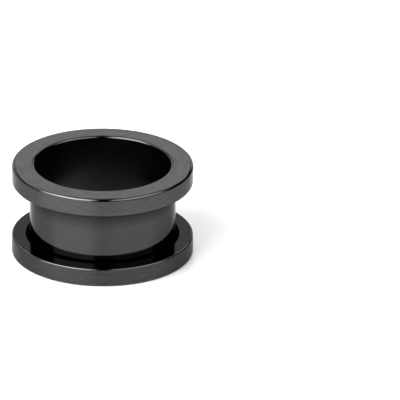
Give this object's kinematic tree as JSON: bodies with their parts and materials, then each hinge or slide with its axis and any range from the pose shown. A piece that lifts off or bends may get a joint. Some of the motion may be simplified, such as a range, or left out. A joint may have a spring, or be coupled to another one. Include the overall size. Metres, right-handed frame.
{
  "type": "screw-fit ear tunnel",
  "caption": "Polished black steel ear tunnel: a flanged tube with a smooth through bore, closed by a screw-on back flange; worn in a stretched ear lobe.",
  "frame": {"origin": "middle of the back flange's outer face, on which the tunnel lies", "axes": "+Z along the bore, from the back flange to the front flange; X and Y in the resting plane"},
  "size_m": [0.0198, 0.0198, 0.0104],
  "materials": {
    "black_steel": "mirror-polished surgical steel with a black ion-plated coat, faintly turned faces",
    "black_steel_back": "mirror-polished surgical steel with a black ion-plated coat, faintly turned faces"
  },
  "bodies": {
    "back": {"screw_flange": "black_steel_back"},
    "front": {"flanged_tube": "black_steel"}
  },
  "joints": [
    {"name": "unscrew", "type": "slide", "parent": "back", "child": "front", "axis": [0, 0, 1], "range_m": [0, 0.012]}
  ]
}
